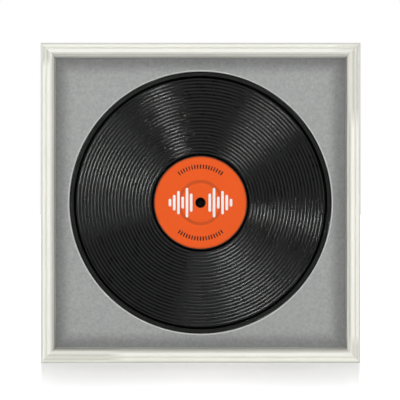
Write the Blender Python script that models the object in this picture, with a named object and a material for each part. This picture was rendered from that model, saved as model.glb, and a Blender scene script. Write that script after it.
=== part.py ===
"""Vinyl record frame: a white moulded square frame that shows a 12-inch record in a round-cut mount board.

Metres, +Z up. The frame stands on the ground plane and faces -Y, with its middle at x = 0. Every piece is
parented to one empty at the middle of the front plane, so a piece's own y is its depth behind that plane.
"""

from math import acos, cos, pi, radians, sin

import bmesh
import bpy
from mathutils import Matrix

# Fits
SEAT_GAP = 0.0003
PANE_CLEARANCE = 0.0005
CUT_OVERRUN = 0.002
WELD_DISTANCE = 0.000001

# The record
RECORD_RADIUS = 0.1508
SPINDLE_HOLE_RADIUS = 0.00362
LABEL_RADIUS = 0.053
LABEL_THICKNESS = 0.0002
LABEL_AREA_THICKNESS = 0.0022
GROOVE_AREA_THICKNESS = 0.0017
CHANNEL_THICKNESS = 0.0013
RIM_THICKNESS = 0.002
RIM_EDGE_THICKNESS = 0.001
RIM_EDGE_ROUND = 0.0006
LABEL_BORDER = 0.0012
INNER_CHANNEL_WIDTH = 0.0022
OUTER_CHANNEL_WIDTH = 0.0034
RIM_WIDTH = 0.0045
CHANNEL_WALL = 0.0005

# The mount board and the moulding round it
APERTURE_CLEARANCE = 0.0007
MOUNT_THICKNESS = 0.0014
MOUNT_BORDER = 0.0134
MOULDING_WIDTH = 0.0162
REBATE_WIDTH = 0.006
LIP_DEPTH = 0.011

# The stack behind the lip
GLAZING_THICKNESS = 0.002
SPACER_DEPTH = 0.006
SPACER_WIDTH = 0.005
SUPPORT_THICKNESS = 0.003
FILLER_THICKNESS = 0.005
PANEL_THICKNESS = 0.0025

# The stud through the record's centre
STUD_HEAD_RADIUS = 0.0057
STUD_HEAD_HEIGHT = 0.0018
STUD_HEAD_EDGE = 0.0012
STUD_SHOULDER_RADIUS = 0.0033
STUD_SHANK_RADIUS = 0.0021
WASHER_RADIUS = 0.0055
WASHER_THICKNESS = 0.0008
NUT_RADIUS = 0.0046
NUT_THICKNESS = 0.0024
FILLER_HOLE_CLEARANCE = 0.004

# The nails across the mitres
NAIL_LEG = 0.006
NAIL_SHEET = 0.0009
NAIL_DEPTH = 0.01
NAIL_INSET = 0.004

# The turn buttons
BUTTON_LENGTH = 0.018
BUTTON_WIDTH = 0.009
BUTTON_THICKNESS = 0.001

# The screws
SCREW_HEAD_RADIUS = 0.0028
SCREW_HEAD_HEIGHT = 0.0016
SCREW_SHANK_RADIUS = 0.0012
SCREW_GRIP = 0.009

# The hangers
STRAP_WIDTH = 0.0075
STRAP_LENGTH = 0.022
STRAP_THICKNESS = 0.001
STRAP_BARREL_RADIUS = 0.0023
STRAP_SCREW_DROP = 0.0165
RING_WIRE_RADIUS = 0.0008
RING_BOW_RADIUS = 0.0056
RING_SIDE = 0.0034
RING_CORNER = 0.0014
HANGER_EDGE_INSET = 0.0005

# The wall bumpers
BUMPER_RADIUS = 0.0045
BUMPER_HEIGHT = 0.003
BUMPER_ROUND = 0.001

# The moulding's face: shares of its width, inward from the outer edge, and of the lip's depth.
# Each corner is rounded between the points before and after it
OUTER_SHOULDER_SHARE = (0.0, 0.30)
OUTER_CORNER_SHARE = (0.06, 0.10)
OUTER_CREST_SHARE = (0.19, 0.09)
QUIRK_CORNER_SHARE = (0.285, 0.09)
QUIRK_START_SHARE = (0.305, 0.24)
QUIRK_END_SHARE = (0.355, 0.24)
MAIN_CORNER_SHARE = (0.375, 0.0)
MAIN_CREST_SHARE = (0.47, 0.0)
MAIN_CREST_END_SHARE = (0.58, 0.0)
SLOPE_CORNER_SHARE = (0.69, 0.0)
SLOPE_START_SHARE = (0.79, 0.22)
SLOPE_TURN_SHARE = (0.875, 0.407)
SLOPE_END_SHARE = (0.92, 0.62)
SIGHT_CORNER_SHARE = (0.965, 0.833)
SIGHT_WALL_SHARE = (1.0, 0.96)

# Places on a rail, as shares of half the frame's side from the middle of the rail
BUTTON_PLACE_SHARE = 0.64
HANGER_PLACE_SHARE = 0.36
BUMPER_PLACE_SHARE = 0.85

# Steps round a turned piece
RECORD_STEPS = 72
LABEL_STEPS = 60
STUD_STEPS = 24
SCREW_STEPS = 12
CURVE_STEPS = 5

# The frame's plan, from its middle outward
aperture_radius = RECORD_RADIUS + APERTURE_CLEARANCE
sight_half = aperture_radius + MOUNT_THICKNESS + MOUNT_BORDER
frame_half = sight_half + MOULDING_WIDTH
rebate_half = sight_half + REBATE_WIDTH
foot_width = MOULDING_WIDTH - REBATE_WIDTH
foot_middle = frame_half - foot_width / 2
pane_half = rebate_half - PANE_CLEARANCE

# The stack's front faces, from the front plane back
glazing_front = LIP_DEPTH + SEAT_GAP
spacer_front = glazing_front + GLAZING_THICKNESS + SEAT_GAP
mount_front = spacer_front + SPACER_DEPTH + SEAT_GAP
support_front = mount_front + MOUNT_THICKNESS + SEAT_GAP
filler_front = support_front + SUPPORT_THICKNESS + SEAT_GAP
panel_front = filler_front + FILLER_THICKNESS + SEAT_GAP
rail_depth = panel_front + PANEL_THICKNESS

# The record lies with its back label on the support board
label_back_front = support_front - SEAT_GAP - LABEL_THICKNESS
record_middle = label_back_front - SEAT_GAP - LABEL_AREA_THICKNESS / 2
label_front_front = record_middle - LABEL_AREA_THICKNESS / 2 - SEAT_GAP - LABEL_THICKNESS

# What stands on the back of the rails
fitting_seat = rail_depth + SEAT_GAP
ring_axis_depth = fitting_seat + STRAP_BARREL_RADIUS
hanger_height = frame_half * HANGER_PLACE_SHARE
hanger_across = frame_half - HANGER_EDGE_INSET - RING_WIRE_RADIUS - RING_BOW_RADIUS
overall_depth = ring_axis_depth + STRAP_BARREL_RADIUS

# The four rails, by the turn about Y that brings the bottom rail to each
RAIL_TURNS = {"bottom": 0.0, "left": 90.0, "top": 180.0, "right": 270.0}

# The corner at the left end of the bottom rail, and those that the same turns bring it to
CORNERS = ("bottom_left", "top_left", "top_right", "bottom_right")


def clear_scene():
    """Take every object out of the open scene."""
    for piece in list(bpy.data.objects):
        bpy.data.objects.remove(piece)


def paint(name, colour, roughness, metallic=0.0, clear=0.0):
    """A plain material of one colour."""
    finish = bpy.data.materials.new(name)
    finish.use_nodes = True
    shader = finish.node_tree.nodes["Principled BSDF"]
    shader.inputs["Base Color"].default_value = (*colour, 1.0)
    shader.inputs["Roughness"].default_value = roughness
    shader.inputs["Metallic"].default_value = metallic
    shader.inputs["Transmission Weight"].default_value = clear
    return finish


def mesh_of(shape, name):
    """Close a bmesh into a mesh with its faces pointing out and its round sides smooth."""
    bmesh.ops.recalc_face_normals(shape, faces=shape.faces)
    mesh = bpy.data.meshes.new(name)
    shape.to_mesh(mesh)
    shape.free()
    mesh.shade_smooth()
    mesh.set_sharp_from_angle(angle=radians(30))
    return mesh


def place(name, data, centre, finish=None, location=(0, 0, 0), turn=0.0):
    """Put a piece in the frame, turned about Y by an angle in degrees."""
    piece = bpy.data.objects.new(name, data)
    bpy.context.scene.collection.objects.link(piece)
    piece.parent = centre
    piece.location = location
    piece.rotation_euler = (0, radians(turn), 0)
    if finish:
        data.materials.clear()
        data.materials.append(finish)
    return piece


def place_cutter(name, shape, centre, cutters, location=(0, 0, 0), turn=0.0):
    """Put a cutter among the others; it is never part of the object."""
    cutter = place(name, mesh_of(shape, name), centre, None, location, turn)
    cutter.hide_render = True
    cutter.display_type = "WIRE"
    cutters.objects.link(cutter)
    return cutter


def cut(piece, cutters):
    """Take every cutter of a collection out of a piece."""
    modifier = piece.modifiers.new("pockets", "BOOLEAN")
    modifier.operation = "DIFFERENCE"
    modifier.solver = "EXACT"
    modifier.operand_type = "COLLECTION"
    modifier.collection = cutters


def box(low, high):
    """A block between two corners."""
    shape = bmesh.new()
    bmesh.ops.create_cube(shape, size=1)
    size = [b - a for a, b in zip(low, high)]
    middle = [(a + b) / 2 for a, b in zip(low, high)]
    bmesh.ops.scale(shape, vec=size, verts=shape.verts)
    bmesh.ops.translate(shape, vec=middle, verts=shape.verts)
    return shape


def turned(section, steps):
    """A solid turned about its own Y axis from a section of (radius, depth) points."""
    shape = bmesh.new()
    points = [shape.verts.new((radius, depth, 0)) for radius, depth in section]
    for first, second in zip(points, points[1:] + points[:1]):
        if first.co.x > 0 or second.co.x > 0:
            shape.edges.new((first, second))
    bmesh.ops.spin(
        shape,
        geom=shape.verts[:] + shape.edges[:],
        cent=(0, 0, 0),
        axis=(0, 1, 0),
        angle=2 * pi,
        steps=steps,
        use_merge=True,
    )
    bmesh.ops.remove_doubles(shape, verts=shape.verts, dist=WELD_DISTANCE)
    return shape


def extruded(outline, vector):
    """A prism: a flat outline of points, drawn along a vector."""
    shape = bmesh.new()
    face = shape.faces.new([shape.verts.new(point) for point in outline])
    moved = bmesh.ops.extrude_face_region(shape, geom=[face])
    verts = [part for part in moved["geom"] if isinstance(part, bmesh.types.BMVert)]
    bmesh.ops.translate(shape, vec=vector, verts=verts)
    return shape


def quarter(start, end, leaves_level):
    """The points after start of a quarter ellipse to end, level at one end and upright at the other."""
    points = []
    for step in range(1, CURVE_STEPS + 1):
        angle = radians(90) * step / CURVE_STEPS
        rising = sin(angle)
        closing = 1 - cos(angle)
        across = rising if leaves_level else closing
        down = closing if leaves_level else rising
        points.append((start[0] + (end[0] - start[0]) * across, start[1] + (end[1] - start[1]) * down))
    return points


def arc(centre, radius, first_angle, last_angle, steps):
    """Points of a circular arc, in degrees, both ends included."""
    points = []
    for step in range(steps + 1):
        angle = radians(first_angle + (last_angle - first_angle) * step / steps)
        points.append((centre[0] + radius * cos(angle), centre[1] + radius * sin(angle)))
    return points


def bend(start, corner, end):
    """The points after start of a curve that leaves towards the corner and comes to end from there."""
    points = []
    for step in range(1, CURVE_STEPS + 1):
        far = step / CURVE_STEPS
        near = 1 - far
        weights = ((near * near, start), (2 * near * far, corner), (far * far, end))
        points.append(tuple(sum(weight * point[axis] for weight, point in weights) for axis in (0, 1)))
    return points


def moulding_section():
    """The rail's section as (distance in from the outer edge, depth behind the front plane)."""

    def at(share):
        return share[0] * MOULDING_WIDTH, share[1] * LIP_DEPTH

    bends = (
        (OUTER_SHOULDER_SHARE, OUTER_CORNER_SHARE, OUTER_CREST_SHARE),
        (OUTER_CREST_SHARE, QUIRK_CORNER_SHARE, QUIRK_START_SHARE),
        (QUIRK_END_SHARE, MAIN_CORNER_SHARE, MAIN_CREST_SHARE),
        (MAIN_CREST_END_SHARE, SLOPE_CORNER_SHARE, SLOPE_START_SHARE),
        (SLOPE_START_SHARE, SLOPE_TURN_SHARE, SLOPE_END_SHARE),
        (SLOPE_END_SHARE, SIGHT_CORNER_SHARE, SIGHT_WALL_SHARE),
    )
    section = [(0, rail_depth)]
    for start, corner, end in bends:
        if section[-1] != at(start):
            section.append(at(start))
        section += bend(at(start), at(corner), at(end))
    section += [(MOULDING_WIDTH, LIP_DEPTH), (foot_width, LIP_DEPTH), (foot_width, rail_depth)]
    return section


def rail_mesh():
    """The bottom rail: the section drawn along X and mitred at both ends."""
    outline = [(0, depth, inward - frame_half) for inward, depth in moulding_section()]
    shape = extruded(outline, (frame_half, 0, 0))
    for corner in shape.verts:
        reach = -corner.co.z - SEAT_GAP * sin(radians(45))
        corner.co.x = reach if corner.co.x > 0 else -reach
    return mesh_of(shape, "rail")


def make_rails(centre, finish, cutters):
    for side, turn in RAIL_TURNS.items():
        rail = place("rail_" + side, rail_mesh(), centre, finish, turn=turn)
        cut(rail, cutters)


def nail_outline(growth):
    """An L across the mitre of the bottom left corner, a little larger all round by the growth."""
    outer = -frame_half + NAIL_INSET - growth
    inner = outer + NAIL_SHEET + 2 * growth
    tip = outer + NAIL_LEG + 2 * growth
    return [(outer, outer), (tip, outer), (tip, inner), (inner, inner), (inner, tip), (outer, tip)]


def nail_shape(growth, front, back):
    outline = [(x, front, z) for x, z in nail_outline(growth)]
    return extruded(outline, (0, back - front, 0))


def make_nails(centre, finish, cutters):
    """One V-nail pressed across each mitre from behind, and the pockets that they sit in."""
    nail_front = rail_depth - NAIL_DEPTH
    for corner, turn in zip(CORNERS, RAIL_TURNS.values()):
        nail = nail_shape(0, nail_front, rail_depth - SEAT_GAP)
        place("v_nail_" + corner, mesh_of(nail, "v_nail"), centre, finish, turn=turn)
        pocket = nail_shape(SEAT_GAP, nail_front - SEAT_GAP, rail_depth + CUT_OVERRUN)
        place_cutter("nail_pocket_" + corner, pocket, centre, cutters, turn=turn)


def make_sheets(centre, finishes, stud_cutters):
    """The square sheets that lie in the rebate, front to back."""
    sheets = (
        ("glazing", glazing_front, GLAZING_THICKNESS, None),
        ("mount_board", mount_front, MOUNT_THICKNESS, aperture_cutters(centre)),
        ("support_board", support_front, SUPPORT_THICKNESS, stud_cutters),
        ("filler_board", filler_front, FILLER_THICKNESS, filler_cutters(centre)),
        ("back_panel", panel_front, PANEL_THICKNESS, None),
    )
    for name, front, thickness, cutters in sheets:
        shape = box((-pane_half, front, -pane_half), (pane_half, front + thickness, pane_half))
        sheet = place(name, mesh_of(shape, name), centre, finishes[name])
        if cutters:
            cut(sheet, cutters)


def filler_cutters(centre):
    """The opening in the filler board, clear of the stud's nut and washer."""
    cutters = bpy.data.collections.new("filler_cutters")
    radius = WASHER_RADIUS + FILLER_HOLE_CLEARANCE
    front = filler_front - CUT_OVERRUN
    back = filler_front + FILLER_THICKNESS + CUT_OVERRUN
    section = [(0, front), (radius, front), (radius, back), (0, back)]
    place_cutter("filler_hole", turned(section, STUD_STEPS), centre, cutters)
    return cutters


def aperture_cutters(centre):
    """The mount's round aperture: a 45 degree bevel that is widest in front."""
    cutters = bpy.data.collections.new("aperture_cutters")
    front = mount_front - CUT_OVERRUN
    back = mount_front + MOUNT_THICKNESS + CUT_OVERRUN
    front_radius = aperture_radius + MOUNT_THICKNESS + CUT_OVERRUN
    back_radius = aperture_radius - CUT_OVERRUN
    section = [(0, front), (front_radius, front), (back_radius, back), (0, back)]
    place_cutter("mount_aperture", turned(section, RECORD_STEPS), centre, cutters)
    return cutters


def make_spacers(centre, finish):
    """Four fillets between the glazing and the mount, hidden behind the lip."""
    inner = pane_half - SPACER_WIDTH
    back = spacer_front + SPACER_DEPTH
    for side, turn in RAIL_TURNS.items():
        reach = pane_half if side in ("top", "bottom") else inner - SEAT_GAP
        shape = box((-reach, spacer_front, -pane_half), (reach, back, -inner))
        place("spacer_" + side, mesh_of(shape, "spacer"), centre, finish, turn=turn)


def record_face():
    """Half of the record's section, from the hole outward, as (radius, half thickness)."""
    label_edge = LABEL_RADIUS + LABEL_BORDER
    inner_channel = label_edge + CHANNEL_WALL
    inner_channel_end = inner_channel + INNER_CHANNEL_WIDTH
    rim_start = RECORD_RADIUS - RIM_WIDTH
    outer_channel_end = rim_start - CHANNEL_WALL
    outer_channel = outer_channel_end - OUTER_CHANNEL_WIDTH
    return [
        (SPINDLE_HOLE_RADIUS, LABEL_AREA_THICKNESS / 2),
        (label_edge, LABEL_AREA_THICKNESS / 2),
        (inner_channel, CHANNEL_THICKNESS / 2),
        (inner_channel_end, CHANNEL_THICKNESS / 2),
        (inner_channel_end + CHANNEL_WALL, GROOVE_AREA_THICKNESS / 2),
        (outer_channel - CHANNEL_WALL, GROOVE_AREA_THICKNESS / 2),
        (outer_channel, CHANNEL_THICKNESS / 2),
        (outer_channel_end, CHANNEL_THICKNESS / 2),
        (rim_start, RIM_THICKNESS / 2),
        (RECORD_RADIUS - RIM_EDGE_ROUND, RIM_THICKNESS / 2),
        (RECORD_RADIUS, RIM_EDGE_THICKNESS / 2),
    ]


def make_record(centre, finish):
    face = record_face()
    section = [(radius, record_middle - half) for radius, half in face]
    section += [(radius, record_middle + half) for radius, half in reversed(face)]
    place("record", mesh_of(turned(section, RECORD_STEPS), "record"), centre, finish)


def make_labels(centre, finish):
    """The paper labels on both sides of the record."""
    for name, front in (("label_front", label_front_front), ("label_back", label_back_front)):
        back = front + LABEL_THICKNESS
        section = [(SPINDLE_HOLE_RADIUS, front), (LABEL_RADIUS, front)]
        section += [(LABEL_RADIUS, back), (SPINDLE_HOLE_RADIUS, back)]
        place(name, mesh_of(turned(section, LABEL_STEPS), name), centre, finish)


def make_stud(centre, stud_finish, steel, support_cutters):
    """The stud, with its washer and nut behind the support board."""
    head_back = label_front_front - SEAT_GAP
    head_front = head_back - STUD_HEAD_HEIGHT
    shoulder_end = support_front - SEAT_GAP
    support_back = support_front + SUPPORT_THICKNESS
    washer_front = support_back + SEAT_GAP
    nut_front = washer_front + WASHER_THICKNESS + SEAT_GAP
    shank_end = nut_front + NUT_THICKNESS
    bore = STUD_SHANK_RADIUS + SEAT_GAP

    section = [(0, head_front)]
    section += [(STUD_HEAD_RADIUS - STUD_HEAD_EDGE, head_front)]
    section += quarter(section[-1], (STUD_HEAD_RADIUS, head_front + STUD_HEAD_EDGE), leaves_level=True)
    section += [(STUD_HEAD_RADIUS, head_back), (STUD_SHOULDER_RADIUS, head_back)]
    section += [(STUD_SHOULDER_RADIUS, shoulder_end), (STUD_SHANK_RADIUS, shoulder_end)]
    section += [(STUD_SHANK_RADIUS, shank_end), (0, shank_end)]
    place("centre_stud", mesh_of(turned(section, STUD_STEPS), "centre_stud"), centre, stud_finish)

    hole = [(0, support_front - CUT_OVERRUN), (bore, support_front - CUT_OVERRUN)]
    hole += [(bore, shank_end + CUT_OVERRUN), (0, shank_end + CUT_OVERRUN)]
    place_cutter("stud_hole", turned(hole, STUD_STEPS), centre, support_cutters)

    washer_back = washer_front + WASHER_THICKNESS
    ring = [(bore, washer_front), (WASHER_RADIUS, washer_front)]
    ring += [(WASHER_RADIUS, washer_back), (bore, washer_back)]
    place("stud_washer", mesh_of(turned(ring, STUD_STEPS), "stud_washer"), centre, steel)

    corners = arc((0, 0), NUT_RADIUS, 0, 300, 5)
    hexagon = extruded([(x, nut_front, z) for x, z in corners], (0, NUT_THICKNESS, 0))
    nut = place("stud_nut", mesh_of(hexagon, "stud_nut"), centre, steel)
    cut(nut, support_cutters)


def button_places():
    """Each turn button's name, the place of its pivot on its rail, and the turn of that rail."""
    across = frame_half * BUTTON_PLACE_SHARE
    ends = {
        "bottom": (("left", -across), ("right", across)),
        "left": (("upper", -across), ("lower", across)),
        "top": (("right", -across), ("left", across)),
        "right": (("lower", -across), ("upper", across)),
    }
    for side, turn in RAIL_TURNS.items():
        for end, along in ends[side]:
            pivot = Matrix.Rotation(radians(turn), 4, "Y") @ Matrix.Translation((along, 0, -foot_middle))
            yield "turn_button_" + side + "_" + end, pivot.translation, turn


def make_screw(name, plate_thickness, centre, finish, cutters, location):
    """A round-head screw over a plate, and its pilot hole through the plate and into the rail."""
    tip = rail_depth - SCREW_GRIP
    head_front = fitting_seat + plate_thickness + SEAT_GAP
    head_back = head_front + SCREW_HEAD_HEIGHT
    section = [(0, tip), (SCREW_SHANK_RADIUS, tip)]
    section += [(SCREW_SHANK_RADIUS, head_front), (SCREW_HEAD_RADIUS, head_front)]
    section += quarter(section[-1], (0, head_back), leaves_level=False)
    place(name, mesh_of(turned(section, SCREW_STEPS), name), centre, finish, location)

    bottom = tip - SEAT_GAP
    mouth = head_back + CUT_OVERRUN
    radius = SCREW_SHANK_RADIUS + SEAT_GAP
    hole = [(0, bottom), (radius, bottom), (radius, mouth), (0, mouth)]
    place_cutter(name + "_hole", turned(hole, SCREW_STEPS), centre, cutters, location)


def make_buttons(centre, brass, steel, cutters):
    """Eight turn buttons, each pointing in over the back panel and turning on its screw."""
    radius = BUTTON_WIDTH / 2
    tip = BUTTON_LENGTH - radius
    outline = arc((0, 0), radius, 180, 360, 2 * CURVE_STEPS)
    outline += arc((0, tip), radius, 0, 180, 2 * CURVE_STEPS)
    for name, pivot, turn in button_places():
        plate = extruded([(x, 0, z) for x, z in outline], (0, BUTTON_THICKNESS, 0))
        button = place(name, mesh_of(plate, name), centre, brass, (pivot.x, fitting_seat, pivot.z), turn)
        cut(button, cutters)
        make_screw(name + "_screw", BUTTON_THICKNESS, centre, steel, cutters, (pivot.x, 0, pivot.z))


def strap_mesh():
    """A strap plate that curls round the ring's bar, with its origin on the bar's axis."""
    front = -STRAP_BARREL_RADIUS
    plate_back = front + STRAP_THICKNESS
    meeting = acos((STRAP_BARREL_RADIUS - STRAP_THICKNESS) / STRAP_BARREL_RADIUS) * 180 / pi
    outline = [(plate_back, -STRAP_LENGTH), (front, -STRAP_LENGTH)]
    outline += arc((0, 0), STRAP_BARREL_RADIUS, 180, meeting - 180, 3 * CURVE_STEPS)
    shape = extruded([(-STRAP_WIDTH / 2, y, z) for y, z in outline], (STRAP_WIDTH, 0, 0))
    return mesh_of(shape, "strap")


def bar_cutter(name, centre, cutters, location):
    """The bore in a strap's barrel."""
    radius = RING_WIRE_RADIUS + SEAT_GAP
    reach = STRAP_WIDTH / 2 + CUT_OVERRUN
    section = [(0, -reach), (radius, -reach), (radius, reach), (0, reach)]
    shape = turned(section, SCREW_STEPS)
    bmesh.ops.rotate(shape, verts=shape.verts, matrix=Matrix.Rotation(radians(90), 3, "Z"))
    place_cutter(name, shape, centre, cutters, location)


def ring_curve(name):
    """A D-ring of round wire: its bar lies on its own X axis and its bow hangs below."""
    corner = RING_BOW_RADIUS - RING_CORNER
    path = arc((corner, -RING_CORNER), RING_CORNER, 90, 0, CURVE_STEPS)
    path += arc((0, -RING_SIDE), RING_BOW_RADIUS, 0, -180, 3 * CURVE_STEPS)
    path += arc((-corner, -RING_CORNER), RING_CORNER, 180, 90, CURVE_STEPS)
    curve = bpy.data.curves.new(name, "CURVE")
    curve.dimensions = "3D"
    curve.bevel_depth = RING_WIRE_RADIUS
    curve.bevel_resolution = 2
    spline = curve.splines.new("POLY")
    spline.points.add(len(path) - 1)
    for point, (x, z) in zip(spline.points, path):
        point.co = (x, 0, z, 1)
    spline.use_cyclic_u = True
    return curve


def make_hangers(centre, steel, screw_steel, cutters):
    """Two strap hangers on the side rails, each with a free-swinging D-ring."""
    for side, across in (("left", -hanger_across), ("right", hanger_across)):
        axis = (across, ring_axis_depth, hanger_height)
        strap = place("hanger_strap_" + side, strap_mesh(), centre, steel, axis)
        bar_cutter("ring_bore_" + side, centre, cutters, axis)
        cut(strap, cutters)
        ring = "hanger_ring_" + side
        place(ring, ring_curve(ring), centre, screw_steel, axis)
        screw_place = (across, 0, hanger_height - STRAP_SCREW_DROP)
        make_screw("hanger_screw_" + side, STRAP_THICKNESS, centre, screw_steel, cutters, screw_place)


def make_bumpers(centre, finish):
    """Two felt dots low on the back that hold the frame off the wall."""
    back = fitting_seat + BUMPER_HEIGHT
    section = [(0, fitting_seat), (BUMPER_RADIUS, fitting_seat), (BUMPER_RADIUS, back - BUMPER_ROUND)]
    section += quarter(section[-1], (BUMPER_RADIUS - BUMPER_ROUND, back), leaves_level=False)
    section += [(0, back)]
    reach = frame_half * BUMPER_PLACE_SHARE
    for side, across in (("left", -reach), ("right", reach)):
        name = "wall_bumper_" + side
        place(name, mesh_of(turned(section, STUD_STEPS), name), centre, finish, (across, 0, -foot_middle))


def build():
    clear_scene()
    centre = bpy.data.objects.new("front_centre", None)
    bpy.context.scene.collection.objects.link(centre)
    centre.location = (0, -overall_depth / 2, frame_half)

    wood_paint = paint("ivory_painted_wood", (0.80, 0.80, 0.74), 0.45)
    black_plastic = paint("black_plastic", (0.01, 0.01, 0.01), 0.4)
    brass = paint("brassed_steel", (0.72, 0.55, 0.26), 0.35, 1.0)
    nickel = paint("nickelled_steel", (0.62, 0.61, 0.58), 0.3, 1.0)
    sheets = {
        "glazing": paint("clear_glass", (0.95, 0.97, 0.97), 0.02, clear=1.0),
        "mount_board": paint("grey_mount_board", (0.34, 0.34, 0.34), 0.9),
        "support_board": paint("black_support_board", (0.03, 0.03, 0.03), 0.8),
        "filler_board": paint("white_foam_board", (0.82, 0.82, 0.80), 0.8),
        "back_panel": paint("brown_hardboard", (0.23, 0.13, 0.07), 0.75),
    }

    pockets = bpy.data.collections.new("pockets")
    stud_cutters = bpy.data.collections.new("stud_cutters")
    make_nails(centre, nickel, pockets)
    make_buttons(centre, brass, nickel, pockets)
    make_hangers(centre, brass, nickel, pockets)
    make_rails(centre, wood_paint, pockets)
    make_stud(centre, black_plastic, nickel, stud_cutters)
    make_sheets(centre, sheets, stud_cutters)
    make_spacers(centre, paint("white_fillet", (0.80, 0.80, 0.74), 0.6))
    make_record(centre, paint("black_vinyl", (0.012, 0.012, 0.012), 0.28))
    make_labels(centre, paint("orange_label_paper", (0.82, 0.11, 0.02), 0.7))
    make_bumpers(centre, paint("grey_felt", (0.25, 0.25, 0.24), 0.95))


build()
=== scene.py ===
"""Vinyl record frame: fine shapes, finishes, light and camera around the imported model.

Metres, +Z up. The frame stands at z = 0 and faces -Y. A depth is a distance behind the frame's front plane.
"""

from math import cos, hypot, pi, radians, sin, tan

import bmesh
import bpy
from mathutils import Matrix, Vector


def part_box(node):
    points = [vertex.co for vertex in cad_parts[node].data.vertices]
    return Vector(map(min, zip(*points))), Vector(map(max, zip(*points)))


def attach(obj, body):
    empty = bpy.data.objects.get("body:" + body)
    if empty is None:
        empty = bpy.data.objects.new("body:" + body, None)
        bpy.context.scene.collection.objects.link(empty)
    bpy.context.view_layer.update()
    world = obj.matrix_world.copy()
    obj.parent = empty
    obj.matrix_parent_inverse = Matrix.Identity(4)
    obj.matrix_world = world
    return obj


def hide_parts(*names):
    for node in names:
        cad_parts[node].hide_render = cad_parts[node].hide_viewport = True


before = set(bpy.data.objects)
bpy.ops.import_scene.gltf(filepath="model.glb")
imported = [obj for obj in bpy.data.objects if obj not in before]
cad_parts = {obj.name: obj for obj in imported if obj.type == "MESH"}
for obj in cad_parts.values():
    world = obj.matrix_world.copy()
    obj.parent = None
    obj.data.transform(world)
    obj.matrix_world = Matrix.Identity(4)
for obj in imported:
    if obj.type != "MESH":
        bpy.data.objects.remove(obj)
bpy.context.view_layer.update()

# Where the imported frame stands
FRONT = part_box("rail_bottom")[0].y
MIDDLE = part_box("record")[0].lerp(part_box("record")[1], 0.5).z
FRAME_HALF = MIDDLE
BODY = "frame"


def front_of(name):
    """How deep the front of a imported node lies."""
    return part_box(name)[0].y - FRONT


def back_of(name):
    """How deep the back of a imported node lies."""
    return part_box(name)[1].y - FRONT


def centre_of(name):
    """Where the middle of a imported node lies, across and up from the frame's middle."""
    low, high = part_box(name)
    return (low.x + high.x) / 2, (low.z + high.z) / 2 - MIDDLE


# The moulding
MOULDING_WIDTH = 0.0162
REBATE_WIDTH = 0.006
LIP_DEPTH = 0.011
RAIL_DEPTH = back_of("rail_bottom")
MITRE_GAP = 0.00004
# The curves of its face: each one's start, corner and end as shares of the width and of the lip's depth
MOULDING_BENDS = (
    ((0.0, 0.30), (0.15, 0.09), (0.24, 0.09)),
    ((0.24, 0.09), (0.33, 0.09), (0.345, 0.24)),
    ((0.38, 0.24), (0.40, 0.0), (0.49, 0.0)),
    ((0.62, 0.0), (0.71, 0.0), (0.79, 0.22)),
    ((0.79, 0.22), (0.875, 0.407), (0.92, 0.62)),
    ((0.92, 0.62), (0.965, 0.833), (1.0, 0.96)),
)
CURVE_STEPS = 10
# How far each rail is turned about the frame's middle, in degrees
RAIL_TURNS = {"bottom": 0.0, "left": 90.0, "top": 180.0, "right": 270.0}
# The clearance of the nails' pockets, the nails' sheet and how far a pocket's cutter reaches back
NAIL_POCKET = 0.0003
NAIL_SHEET = 0.0009
POCKET_REACH = 0.02

# The mount board
MOUNT_FRONT = front_of("mount_board")
MOUNT_BACK = back_of("mount_board")
MOUNT_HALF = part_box("mount_board")[1].x
APERTURE_BACK_RADIUS = 0.1515
MOUNT_STEPS = 256

# The record: half its thickness in each zone
LABEL_SEAT = 0.0011
CHANNEL = 0.00065
LAND = 0.00085
RIM = 0.001
# The radii between its zones
HOLE_RADIUS = 0.00362
LABEL_SEAT_RADIUS = 0.0542
INNER_CHANNEL = (0.0547, 0.0566)
LAND_START = 0.0567
LAND_END = 0.1433
OUTER_CHANNEL = (0.1434, 0.1461)
RIM_START = 0.1462
RIM_END = 0.1499
RECORD_RADIUS = 0.1508
# Its rounded edge: how far inside the record's radius, and the share of the rim's half thickness there
RIM_EDGE = ((0.0006, 1.0), (0.00018, 0.85), (0.0, 0.5))
RECORD_MIDDLE = (front_of("record") + back_of("record")) / 2
RECORD_STEPS = 288

# The ridges of the playing area, each between two margins; ridge and margins take a darker vinyl, a painted
# shade of the dark lines between the ridges' shine
RIDGE_COUNT = 22
FIRST_RIDGE = 0.0595
RIDGE_PITCH = 0.003875
RIDGE_WIDTH = 0.00118
RIDGE_STEP = 0.00005
RIDGE_TILT = 17.0
RIDGE_MARGIN = 0.00035
# They are pressed a little off the record's centre, but the area's own borders stay, within this tolerance
RIDGE_SHIFT = Vector((-0.00028, 0.0, -0.00017))
TOLERANCE = 0.000001

# The label, its print, and rings of painted shade on it
LABEL_RADIUS = 0.053
LABEL_FRONT = front_of("label_front")
LABEL_BACK = back_of("label_front")
LABEL_STEPS = 160
PRINT_LIFT = 0.00003
PRINT_SINK = 0.00004
BAND_LIFT = 0.00002
# Rings of dark orange print; the outer one, at the label's edge, also paints the shade of that edge
DARK_BANDS = ((0.0225, 0.0262), (0.0516, 0.0530))
# A black ring round the stud on the label: a painted shadow of the stud
HUB_SHADOW_RING = (0.0048, 0.0060)
BAR_WIDTH = 0.0030
BAR_SPACING = 0.0049
BAR_START = 0.0107
BAR_LENGTHS = (0.021, 0.034, 0.014, 0.027, 0.018, 0.009)
BAR_END_STEPS = 8
TICK_RADIUS = 0.0415
TICK_LENGTH = 0.0052
TICK_WIDTH = 0.0015
TICK_STEP = 4.5
TICK_SPAN = 36.0

# The stud
STUD_RADIUS = 0.0057
STUD_NECK_RADIUS = 0.0033
STUD_SHANK_RADIUS = 0.0021
STUD_FRONT = front_of("centre_stud")
STUD_BACK = STUD_FRONT + 0.0018
STUD_TIP = back_of("centre_stud")
STUD_DOME_STEPS = 15
STUD_STEPS = 64

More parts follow.
